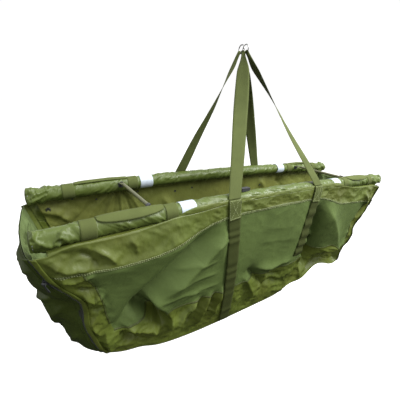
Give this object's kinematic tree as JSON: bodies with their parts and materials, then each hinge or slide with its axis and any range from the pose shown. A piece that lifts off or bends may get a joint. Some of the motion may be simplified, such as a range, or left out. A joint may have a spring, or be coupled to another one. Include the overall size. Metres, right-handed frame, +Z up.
{
  "type": "retainer sling",
  "caption": "Boat-shaped olive nylon and mesh fish bag between two padded floats, held open by spreader bars and hung from two webbing bridles with steel rings.",
  "frame": {"origin": "the hang point, where a hook bears in the tops of both rings", "axes": "+Z up, +X along the floats towards the right end of the picture, -Y towards the near long side"},
  "size_m": [1.2808, 0.3016, 0.8761],
  "materials": {
    "nylon": "olive woven nylon, slightly shiny and ruched",
    "mesh": "fine dark green mesh",
    "webbing": "matte woven polypropylene webbing",
    "reflective": "pale reflective tape",
    "foam": "closed-cell foam",
    "steel": "polished wire",
    "glass_fibre": "satin glass-fibre rod",
    "dark_plastic": "moulded nylon and zip tape"
  },
  "bodies": {
    "sling_bag": {"base_panel": "nylon", "near_keeper": "dark_plastic", "near_float_foam": "foam", "near_float_sleeve": "nylon", "near_side_border": "nylon", "near_mesh_window": "mesh", "near_side_panel": "nylon", "near_left_end_cap": "nylon", "near_left_reflective_band": "reflective", "near_left_outer_wrap": "webbing", "near_left_inner_wrap": "webbing", "near_right_end_cap": "nylon", "near_right_reflective_band": "reflective", "near_right_outer_wrap": "webbing", "near_right_inner_wrap": "webbing", "far_float_foam": "foam", "far_float_sleeve": "nylon", "far_side_border": "nylon", "far_mesh_window": "mesh", "far_side_panel": "nylon", "far_left_end_cap": "nylon", "far_left_reflective_band": "reflective", "far_left_outer_wrap": "webbing", "far_left_inner_wrap": "webbing", "far_right_end_cap": "nylon", "far_right_reflective_band": "reflective", "far_right_outer_wrap": "webbing", "far_right_inner_wrap": "webbing", "left_end_panel": "nylon", "left_belly_strap": "webbing", "left_bar_tab": "dark_plastic", "left_bar_clip": "dark_plastic", "left_zip_tape": "dark_plastic", "far_left_seam_tape": "nylon", "right_end_panel": "nylon", "right_belly_strap": "webbing", "right_bar_tab": "dark_plastic", "right_bar_clip": "dark_plastic", "right_zip_tape": "dark_plastic", "far_right_seam_tape": "nylon"},
    "near_bridle": {"near_bridle": "webbing"},
    "near_ring": {"near_ring": "steel"},
    "near_left_grip": {"near_left_grip": "webbing"},
    "near_right_grip": {"near_right_grip": "webbing"},
    "far_bridle": {"far_bridle": "webbing"},
    "far_ring": {"far_ring": "steel"},
    "far_left_grip": {"far_left_grip": "webbing"},
    "far_right_grip": {"far_right_grip": "webbing"},
    "left_spreader_bar": {"left_spreader_bar": "glass_fibre"},
    "left_zip_slider": {"left_zip_slider": "dark_plastic"},
    "left_zip_puller": {"left_zip_puller": "steel"},
    "right_spreader_bar": {"right_spreader_bar": "glass_fibre"},
    "right_zip_slider": {"right_zip_slider": "dark_plastic"},
    "right_zip_puller": {"right_zip_puller": "steel"}
  },
  "joints": [
    {"name": "near_bridle_swing", "type": "hinge", "parent": "sling_bag", "child": "near_bridle", "pos_m": [0.0385, -0.19271, -0.38974], "axis": [1, 0, 0], "range_deg": [0, 150]},
    {"name": "far_bridle_swing", "type": "hinge", "parent": "sling_bag", "child": "far_bridle", "pos_m": [0.0385, 0.10432, -0.39413], "axis": [-1, 0, 0], "range_deg": [0, 150]},
    {"name": "near_ring_tilt", "type": "hinge", "parent": "near_bridle", "child": "near_ring", "pos_m": [0.002, -0.0068, -0.01883], "axis": [0, 1, 0], "range_deg": [0, 60]},
    {"name": "far_ring_tilt", "type": "hinge", "parent": "far_bridle", "child": "far_ring", "pos_m": [-0.002, 0.0068, -0.01883], "axis": [0, -1, 0], "range_deg": [0, 60]},
    {"name": "near_left_grip_lift", "type": "hinge", "parent": "sling_bag", "child": "near_left_grip", "pos_m": [-0.402, -0.16273, -0.38812], "axis": [-0.9993, 0, -0.0361], "range_deg": [0, 100]},
    {"name": "near_right_grip_lift", "type": "hinge", "parent": "sling_bag", "child": "near_right_grip", "pos_m": [0.479, -0.16273, -0.38812], "axis": [-0.9993, 0, 0.0361], "range_deg": [0, 100]},
    {"name": "far_left_grip_lift", "type": "hinge", "parent": "sling_bag", "child": "far_left_grip", "pos_m": [-0.402, 0.07273, -0.38812], "axis": [0.9993, 0, 0.0361], "range_deg": [0, 100]},
    {"name": "far_right_grip_lift", "type": "hinge", "parent": "sling_bag", "child": "far_right_grip", "pos_m": [0.479, 0.07273, -0.38812], "axis": [0.9993, 0, -0.0361], "range_deg": [0, 100]},
    {"name": "left_bar_swing", "type": "hinge", "parent": "sling_bag", "child": "left_spreader_bar", "pos_m": [-0.3515, 0.05651, -0.39256], "axis": [0, 0, 1], "range_deg": [0, 80]},
    {"name": "right_bar_swing", "type": "hinge", "parent": "sling_bag", "child": "right_spreader_bar", "pos_m": [0.4285, 0.05651, -0.39256], "axis": [0, 0, -1], "range_deg": [0, 80]},
    {"name": "left_zip_slide", "type": "slide", "parent": "sling_bag", "child": "left_zip_slider", "axis": [0.3329, 0.1349, -0.9333], "range_m": [-0.045, 0.25]},
    {"name": "right_zip_slide", "type": "slide", "parent": "sling_bag", "child": "right_zip_slider", "axis": [-0.2193, 0.1268, -0.9674], "range_m": [-0.045, 0.25]},
    {"name": "left_puller_lift", "type": "hinge", "parent": "left_zip_slider", "child": "left_zip_puller", "pos_m": [-0.57221, -0.18334, -0.49808], "axis": [-0.6671, 0.7332, -0.132], "range_deg": [0, 150]},
    {"name": "right_puller_lift", "type": "hinge", "parent": "right_zip_slider", "child": "right_zip_puller", "pos_m": [0.64856, -0.18351, -0.5031], "axis": [-0.6942, -0.7169, 0.0634], "range_deg": [0, 150]}
  ]
}
